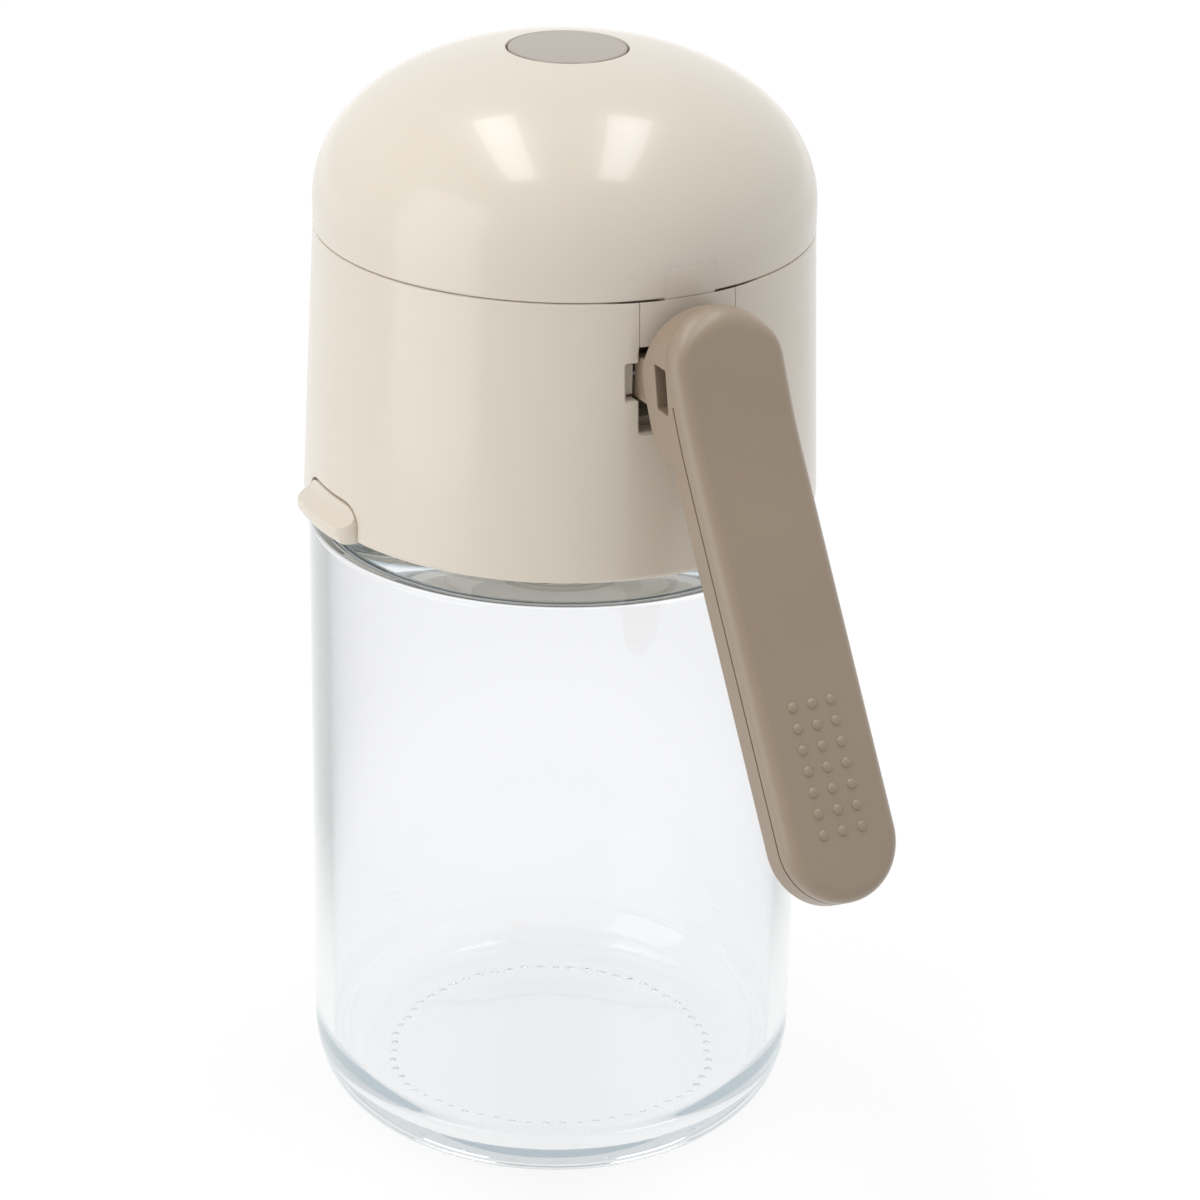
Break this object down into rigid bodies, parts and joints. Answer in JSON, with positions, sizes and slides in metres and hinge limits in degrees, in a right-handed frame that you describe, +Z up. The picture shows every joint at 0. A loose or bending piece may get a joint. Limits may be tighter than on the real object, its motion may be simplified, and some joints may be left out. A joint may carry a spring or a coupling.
{
  "type": "seasoning pot",
  "caption": "Glass seasoning pot with a plastic head: squeezing the long side lever lifts the hinged dome lid off a perforated pouring spout.",
  "frame": {"origin": "on the jar's axis, in the plane of its foot ring", "axes": "+Z up along the jar's axis, +X towards the lever, -Y towards the release tab, -X towards the side it pours over"},
  "size_m": [0.1224, 0.0784, 0.1663],
  "materials": {
    "glass": "clear, smooth",
    "cream": "glossy",
    "taupe": "satin",
    "inner": "satin",
    "silicone": "matte",
    "steel": "drawn wire"
  },
  "bodies": {
    "jar": {"glass_jar": "glass"},
    "head": {"collar": "inner", "neck_gasket": "silicone", "pour_funnel": "inner", "shaker_disc": "inner", "deck_plate": "inner", "housing": "cream", "hinge_block": "cream", "lever_bracket": "inner", "lever_pin": "steel", "hinge_pin": "steel", "tab_pin": "steel"},
    "lever": {"lever_shell": "taupe", "lever_back": "taupe", "lever_spring": "steel"},
    "lifter": {"lifter": "inner"},
    "lid": {"lid_dome": "cream", "lid_liner": "inner", "lid_seal": "silicone", "top_disc": "taupe"},
    "tab": {"release_tab": "cream"}
  },
  "joints": [
    {"name": "head_lift", "type": "slide", "parent": "jar", "child": "head", "axis": [0, 0, 1], "range_m": [0, 0.03]},
    {"name": "lever_squeeze", "type": "hinge", "parent": "head", "child": "lever", "pos_m": [0.0308, 0, 0.1292], "axis": [0, 1, 0], "range_deg": [0, 20], "stiffness_Nm_per_rad": 0.05, "springref_deg": -28.65},
    {"name": "lifter_slide", "type": "slide", "parent": "head", "child": "lifter", "axis": [0, 0, 1], "range_m": [0, 0.0034]},
    {"name": "lid_open", "type": "hinge", "parent": "head", "child": "lid", "pos_m": [0.034, 0, 0.1427], "axis": [0, 1, 0], "range_deg": [0, 60.5]},
    {"name": "tab_pull", "type": "hinge", "parent": "head", "child": "tab", "pos_m": [0, -0.03375, 0.1078], "axis": [-1, 0, 0], "range_deg": [0, 7], "stiffness_Nm_per_rad": 0.005, "springref_deg": -11.46}
  ],
  "couplings": [
    {"joint": "lifter_slide", "follows": "lever_squeeze", "m_per_rad": 0.009454},
    {"joint": "lid_open", "follows": "lever_squeeze", "ratio": 3}
  ]
}
